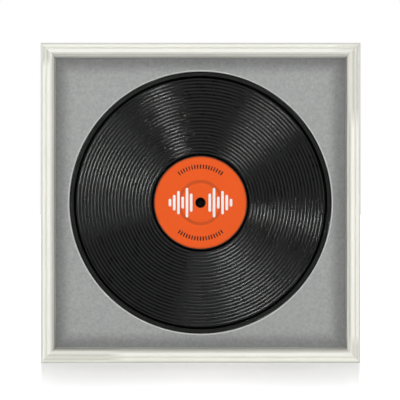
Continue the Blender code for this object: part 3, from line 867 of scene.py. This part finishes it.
def make_screw(name):
    """A round-head screw with a cross recess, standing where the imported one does."""
    x, z = centre_of(name)
    tip, top = front_of(name), back_of(name)
    seat = top - SCREW_HEAD_HEIGHT
    section = [(0, tip), (SCREW_SHANK_RADIUS, tip + SCREW_POINT), (SCREW_SHANK_RADIUS, seat)]
    section.append((SCREW_HEAD_RADIUS, seat))
    section += dome(SCREW_HEAD_RADIUS, seat + SCREW_HEAD_EDGE, top, SCREW_DOME_STEPS)
    shape = turned(bmesh.new(), section, SCREW_STEPS, (x, z))
    screw = piece_of(shape, "cross_" + name, [NICKEL], BODY, [name])
    half_length, half_width = RECESS_LENGTH / 2, RECESS_WIDTH / 2
    arm = ((half_length, -half_width), (half_length, half_width), (half_width, half_width))
    outline = []
    for turn in RECESS_TURNS:
        along, aside = cos(radians(turn)), sin(radians(turn))
        outline += [at(x + far * along - side * aside, top + RECESS_RISE, z + far * aside + side * along)
                    for far, side in arm]
    recess = bmesh.new()
    prism(recess, outline, (0, -RECESS_RISE - RECESS_DEPTH, 0))
    deep = [point for point in recess.verts if point.co.y < FRONT + top]
    bmesh.ops.scale(recess, vec=(RECESS_TAPER, 1, RECESS_TAPER), verts=deep,
                    space=Matrix.Translation(-at(x, 0, z)))
    cut(screw, recess)


def make_button(name, turn):
    """A turn button with eased edges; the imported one's box gives its pivot, at the end towards the rail."""
    low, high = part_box(name)
    x = high.x - BUTTON_RADIUS if turn == RAIL_TURNS["right"] else low.x + BUTTON_RADIUS
    z = high.z - BUTTON_RADIUS if turn == RAIL_TURNS["top"] else low.z + BUTTON_RADIUS
    outline = arc((0, 0), BUTTON_RADIUS, 180, 360, BUTTON_STEPS)
    outline += arc((0, BUTTON_TIP), BUTTON_RADIUS, 0, 180, BUTTON_STEPS)
    shape = bmesh.new()
    prism(shape, [(across, 0, up) for across, up in outline], (0, BUTTON_THICKNESS, 0))
    bevel_sharp(shape, BUTTON_BEVEL)
    turn_about(shape, shape.verts, turn, (0, 0, 0))
    bmesh.ops.translate(shape, verts=shape.verts, vec=(x, low.y, z))
    piece_of(shape, "pressed_" + name, [BRASS], name, [name])


def make_strap(side):
    """A strap that is folded round the ring's bar; gives the bar's middle."""
    name = "hanger_strap_" + side
    low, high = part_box(name)
    axis = Vector(((low.x + high.x) / 2, high.y - BARREL_RADIUS, high.z - BARREL_RADIUS))
    inner = BARREL_RADIUS - STRAP_THICKNESS
    start, end = STRAP_FOLD
    outline = [(-inner, -STRAP_LENGTH), (-BARREL_RADIUS, -STRAP_LENGTH)]
    outline += arc((0, 0), BARREL_RADIUS, start, end, STRAP_STEPS)
    outline += arc((0, 0), inner, end, start, STRAP_STEPS)
    shape = bmesh.new()
    prism(shape, [axis + Vector((-STRAP_WIDTH / 2, y, z)) for y, z in outline], (STRAP_WIDTH, 0, 0))
    bevel_sharp(shape, STRAP_BEVEL, angle=60.0)
    piece_of(shape, "folded_" + name, [BRASS], BODY, [name])
    return axis


def make_ring(side, axis):
    """A D-ring of round wire that hangs from its straight bar."""
    corner = BOW_RADIUS - RING_CORNER
    path = arc((corner, -RING_CORNER), RING_CORNER, 90, 0, RING_CORNER_STEPS)
    path += arc((0, -RING_SIDE), BOW_RADIUS, 0, -180, BOW_STEPS)
    path += arc((-corner, -RING_CORNER), RING_CORNER, 180, 90, RING_CORNER_STEPS)
    curve = bpy.data.curves.new("wire", "CURVE")
    curve.dimensions = "3D"
    curve.bevel_depth = WIRE_RADIUS
    curve.bevel_resolution = WIRE_ROUNDNESS
    spline = curve.splines.new("POLY")
    spline.points.add(len(path) - 1)
    for point, (x, z) in zip(spline.points, path):
        point.co = (axis.x + x, axis.y, axis.z + z, 1)
    spline.use_cyclic_u = True
    wire = put("wire", curve)
    bpy.context.view_layer.update()
    mesh = bpy.data.meshes.new_from_object(wire.evaluated_get(bpy.context.evaluated_depsgraph_get()))
    bpy.data.objects.remove(wire)
    shape = bmesh.new()
    shape.from_mesh(mesh)
    bpy.data.meshes.remove(mesh)
    name = "hanger_ring_" + side
    piece_of(shape, "wire_" + name, [NICKEL], name, [name], sharp=50.0)


def make_bumper(side):
    name = "wall_bumper_" + side
    front, back = front_of(name), back_of(name)
    corner = (BUMPER_RADIUS - BUMPER_ROUND, back - BUMPER_ROUND)
    section = [(0, front), (BUMPER_RADIUS, front), *arc(corner, BUMPER_ROUND, 0, 90, BUMPER_ROUND_STEPS)]
    shape = turned(bmesh.new(), section + [(0, back)], BUMPER_STEPS, centre_of(name))
    piece_of(shape, "felt_" + name, [FELT], BODY, [name])


make_rails()
make_mount()
make_record()
make_label()
make_stud()
for side, turn in RAIL_TURNS.items():
    for name in sorted(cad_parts):
        if name.startswith("turn_button_" + side) and not name.endswith("_screw"):
            make_button(name, turn)
for name in sorted(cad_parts):
    if name.endswith("_screw") or name.startswith("hanger_screw"):
        make_screw(name)
for side in ("left", "right"):
    make_ring(side, make_strap(side))
    make_bumper(side)

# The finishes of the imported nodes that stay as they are, by how their names start
KEPT = {
    "glazing": GLASS, "spacer_": FILLET, "support_board": SUPPORT, "filler_board": FILLER,
    "back_panel": HARDBOARD, "label_back": LABEL_ORANGE, "stud_": NICKEL, "v_nail_": NICKEL,
}
for name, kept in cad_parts.items():
    for start, finish in KEPT.items():
        if name.startswith(start):
            kept.data.materials.clear()
            kept.data.materials.append(finish)


# Floor, world, lamp and camera

FLOOR_SIZE = 30.0
FLOOR_COLOUR = 0.86
FLOOR_GLOSS = 0.09
FLOOR_ROUGHNESS = 0.1
# What the camera sees the floor glow with: white all round, and a painted shadow before the frame, grey there
# and fading towards the camera
FLOOR_GLOW = 0.75
SHADE_GLOW = 0.184
SHADE_LENGTH = 0.395
SHADE_EDGE = 0.002
SHADE_SIDE = 0.0025
# A little more glow before the middle of the frame, which lightens the painted shadow there
MIDDLE_GLOW = 0.055
MIDDLE_SPAN = (0.015, 0.1)
# A painted contact shadow: the dark line where the frame stands on the floor, by how far it lies before the
# frame's front
CONTACT_SHADOW_START = -0.006
CONTACT_SHADOW_END = (0.0, 0.002)
CONTACT_SHADOW_COLOUR = 0.45

# The lamp's azimuth from the right and its angle off the camera's axis, in degrees
LAMP_AZIMUTH = 90.0
LAMP_OFF = 1.0
LAMP_DISTANCE = 1.7
LAMP_SIZE = 0.36
LAMP_RADIANCE = 23.4

# What polish sees of the room: a ring of soft boxes round the camera in a dark surround.
# The ring starts, is full from, is full to and ends at these angles off the camera's axis.
BOX_RING = (22.0, 27.0, 43.0, 48.0)
# Each box has its azimuth from the right, its half width in azimuth and its radiance
BOXES = (
    (50.0, 14.4, 12.2), (111.2, 4.4, 34.0), (349.8, 4.4, 33.0), (143.0, 12.0, 4.7), (161.5, 14.5, 16.6),
    (183.0, 15.0, 4.9), (297.0, 19.5, 16.0), (268.0, 12.0, 3.3), (319.0, 12.0, 3.6),
)
# What matt surfaces see of it: light from before and behind, and less from the sides
ROOM_POLE = 0.85
ROOM_SIDE = 0.585
POLE_SPAN = (0.2, 0.85)
# Polish also sees white at the sides and behind, from this angle off the camera's axis on
CARD_SPAN = (70.0, 88.0)

CAMERA_DISTANCE = 1.5
# In pixels of the picture: the focal length, the picture's width, and how far the frame lies off its middle
FOCAL = 1317.2
PICTURE_SIZE = 400
PICTURE_RIGHT = 0.5
PICTURE_DOWN = 2.65
# In millimetres
SENSOR = 36.0


def finish_floor():
    """A pale floor that stays white to the camera but for a painted soft shadow and contact shadow before the
    frame.
    """
    finish, tree = bare_finish("white_floor")
    place = split(tree, object_point(tree))
    ahead = sums(tree, "SUBTRACT", FRONT, place["Y"])
    across = sums(tree, "ABSOLUTE", place["X"])
    # Painted shadow: the glow is low at the frame and rises towards the camera
    fade = spread(tree, ahead, SHADE_GLOW, FLOOR_GLOW, 0.0, SHADE_LENGTH)
    fade = sums(tree, "ADD", fade, spread(tree, across, MIDDLE_GLOW, 0.0, *MIDDLE_SPAN))
    reach = sums(tree, "MULTIPLY_ADD", ahead, -FRAME_HALF / CAMERA_DISTANCE, FRAME_HALF)
    beside = spread(tree, sums(tree, "SUBTRACT", reach, across), 0.0, 1.0, -SHADE_SIDE, SHADE_SIDE)
    before = spread(tree, ahead, 0.0, 1.0, CONTACT_SHADOW_START - SHADE_EDGE, CONTACT_SHADOW_START)
    shade = sums(tree, "MULTIPLY", beside, before)
    seen = node(tree, "ShaderNodeLightPath").outputs["Is Camera Ray"]
    # Painted contact shadow: the floor's colour darkens along the frame's foot, for the camera only
    contact_shadow = sums(tree, "MULTIPLY", shade, spread(tree, ahead, 1.0, 0.0, *CONTACT_SHADOW_END))
    contact_shadow = sums(tree, "MULTIPLY", contact_shadow, seen)
    colour = blend(tree, contact_shadow, grey(FLOOR_COLOUR), grey(CONTACT_SHADOW_COLOUR), 0.0, 1.0)
    matt = node(tree, "ShaderNodeBsdfDiffuse", {"Color": colour})
    gloss = node(tree, "ShaderNodeBsdfGlossy", {"Roughness": FLOOR_ROUGHNESS})
    surface = node(tree, "ShaderNodeMixShader", {0: FLOOR_GLOSS, 1: matt.outputs[0], 2: gloss.outputs[0]})
    level = sums(tree, "MULTIPLY", seen, either(tree, shade, FLOOR_GLOW, fade))
    glow = node(tree, "ShaderNodeEmission", {0: (1, 1, 1, 1), 1: level})
    show(tree, node(tree, "ShaderNodeAddShader", {0: surface.outputs[0], 1: glow.outputs[0]}))
    return finish


def make_floor():
    shape = bmesh.new()
    bmesh.ops.create_grid(shape, x_segments=1, y_segments=1, size=FLOOR_SIZE / 2)
    mesh = mesh_of(shape, "floor")
    mesh.materials.append(finish_floor())
    floor = put("floor", mesh)
    floor.visible_glossy = False


def ring_share(tree, ahead):
    """1 in the ring of boxes and 0 outside it, by the cosine of the angle off the camera's axis."""
    start, full, still_full, end = (cos(radians(angle)) for angle in BOX_RING)
    inside = smooth(tree, ahead, 0.0, 1.0, start, full)
    return sums(tree, "MULTIPLY", inside, smooth(tree, ahead, 0.0, 1.0, end, still_full))


def ring_of_boxes(tree, level, ahead):
    """The radiance of the boxes in a direction, by what it is across the camera's axis and along it."""
    total = 0.0
    for azimuth, half, radiance in BOXES:
        towards = (cos(radians(azimuth)), 0, sin(radians(azimuth)))
        near = vector_sums(tree, "DOT_PRODUCT", level, towards)["Value"]
        total = sums(tree, "ADD", smooth(tree, near, 0.0, radiance, cos(radians(half)), 1.0), total)
    return sums(tree, "MULTIPLY", total, ring_share(tree, ahead))


def make_world():
    """White to the camera, soft from before and behind on matt surfaces, and a room with boxes for polish."""
    world = bpy.data.worlds.new("studio")
    bpy.context.scene.world = world
    world.use_nodes = True
    tree = world.node_tree
    towards = node(tree, "ShaderNodeTexCoord").outputs["Generated"]
    back = split(tree, towards)["Y"]
    flat = vector_sums(tree, "MULTIPLY", towards, (1, 0, 1))[0]
    level = vector_sums(tree, "NORMALIZE", flat)[0]
    card = smooth(tree, back, 0.0, 1.0, *[-cos(radians(angle)) for angle in CARD_SPAN])
    polish = sums(tree, "ADD", card, ring_of_boxes(tree, level, sums(tree, "MULTIPLY", back, -1.0)))
    soft = smooth(tree, sums(tree, "ABSOLUTE", back), ROOM_SIDE, ROOM_POLE, *POLE_SPAN)
    path = node(tree, "ShaderNodeLightPath").outputs
    mirrored = sums(tree, "MAXIMUM", path["Is Glossy Ray"], path["Is Transmission Ray"])
    strength = either(tree, path["Is Camera Ray"], either(tree, mirrored, soft, polish), 1.0)
    tree.links.new(strength, tree.nodes["Background"].inputs["Strength"])
    tree.nodes["Background"].inputs["Color"].default_value = (1, 1, 1, 1)


def make_lamp():
    """A square panel lamp a little over the camera's axis, which shows only on what is matt."""
    data = bpy.data.lights.new("lamp_front", "AREA")
    data.shape = "RECTANGLE"
    data.size = data.size_y = LAMP_SIZE
    data.energy = LAMP_RADIANCE * LAMP_SIZE ** 2 * pi
    lamp = put("lamp_front", data)
    lamp.visible_glossy = False
    outward = Vector((cos(radians(LAMP_AZIMUTH)), 0, sin(radians(LAMP_AZIMUTH))))
    towards = outward * sin(radians(LAMP_OFF)) + Vector((0, -cos(radians(LAMP_OFF)), 0))
    lamp.location = at(0, 0, 0) + towards * LAMP_DISTANCE
    level = outward.cross(towards).normalized()
    lamp.rotation_euler = Matrix((level, towards.cross(level), towards)).transposed().to_euler()


def make_camera():
    data = bpy.data.cameras.new("camera")
    data.sensor_width = SENSOR
    data.lens = FOCAL / PICTURE_SIZE * SENSOR
    camera = put("camera", data)
    pixel = CAMERA_DISTANCE / FOCAL
    camera.location = at(-PICTURE_RIGHT * pixel, -CAMERA_DISTANCE, PICTURE_DOWN * pixel)
    camera.rotation_euler = (pi / 2, 0, 0)
    bpy.context.scene.camera = camera


make_floor()
make_world()
make_lamp()
make_camera()
bpy.context.scene.view_settings.view_transform = "Standard"
